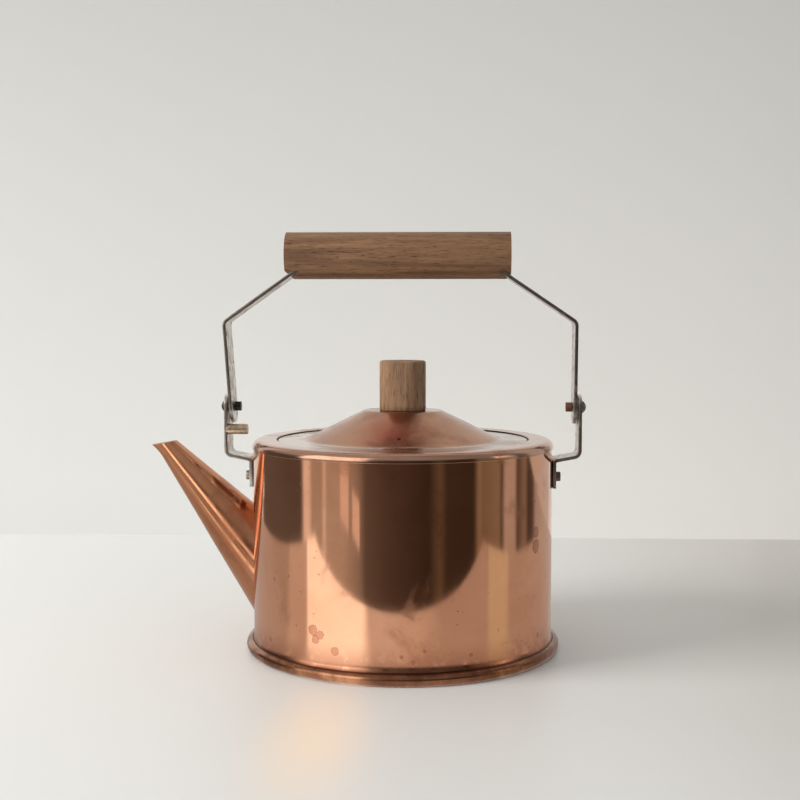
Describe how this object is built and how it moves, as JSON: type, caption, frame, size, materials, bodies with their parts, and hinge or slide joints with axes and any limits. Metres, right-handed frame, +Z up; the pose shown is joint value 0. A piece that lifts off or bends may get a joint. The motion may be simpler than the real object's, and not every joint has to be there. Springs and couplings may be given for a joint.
{
  "type": "kettle",
  "caption": "Cylindrical copper kettle with a straight conical spout, a recessed conical lid with a wooden knob, and a swinging steel bail with a wooden grip.",
  "frame": {"origin": "centre of the base on the table", "axes": "+Z up, the spout points to -X, +X is the side away from the spout, -Y is the front side with the steam hole"},
  "size_m": [0.2635, 0.1888, 0.2503],
  "materials": {
    "copper": "polished copper with heat patina and water stains",
    "strap_steel": "flat bar with dark drawn edges and slight rust",
    "bolt_steel": "blackened and partly rusted",
    "peg_brass": "dull turned brass",
    "grip_wood": "oiled brown hardwood",
    "knob_wood": "dry greyish brown hardwood"
  },
  "bodies": {
    "vessel": {"body_wall": "copper", "shoulder_cap": "copper", "base_pan": "copper", "spout": "copper", "left_bracket": "strap_steel", "right_bracket": "strap_steel", "stop_peg": "peg_brass", "left_pivot_bolt": "bolt_steel", "right_pivot_bolt": "bolt_steel", "left_pivot_washer": "strap_steel", "right_pivot_washer": "strap_steel", "left_pivot_nut": "bolt_steel", "right_pivot_nut": "bolt_steel", "left_lock_nut": "bolt_steel", "right_lock_nut": "bolt_steel", "left_tab_screw": "strap_steel", "right_tab_screw": "bolt_steel", "left_tab_washer": "strap_steel", "right_tab_washer": "strap_steel", "left_tab_nut": "bolt_steel", "right_tab_nut": "bolt_steel"},
    "bail": {"bail_strap": "strap_steel", "grip": "grip_wood"},
    "lid": {"lid_dome": "copper", "lid_collar": "copper", "knob": "knob_wood", "knob_screw": "strap_steel", "knob_washer": "strap_steel"}
  },
  "joints": [
    {"name": "bail_swing", "type": "hinge", "parent": "vessel", "child": "bail", "pos_m": [0, 0, 0.1455], "axis": [1, 0, 0], "range_deg": [-93, 90.5]},
    {"name": "lid_lift", "type": "slide", "parent": "vessel", "child": "lid", "axis": [0, 0, 1], "range_m": [0, 0.045]}
  ]
}
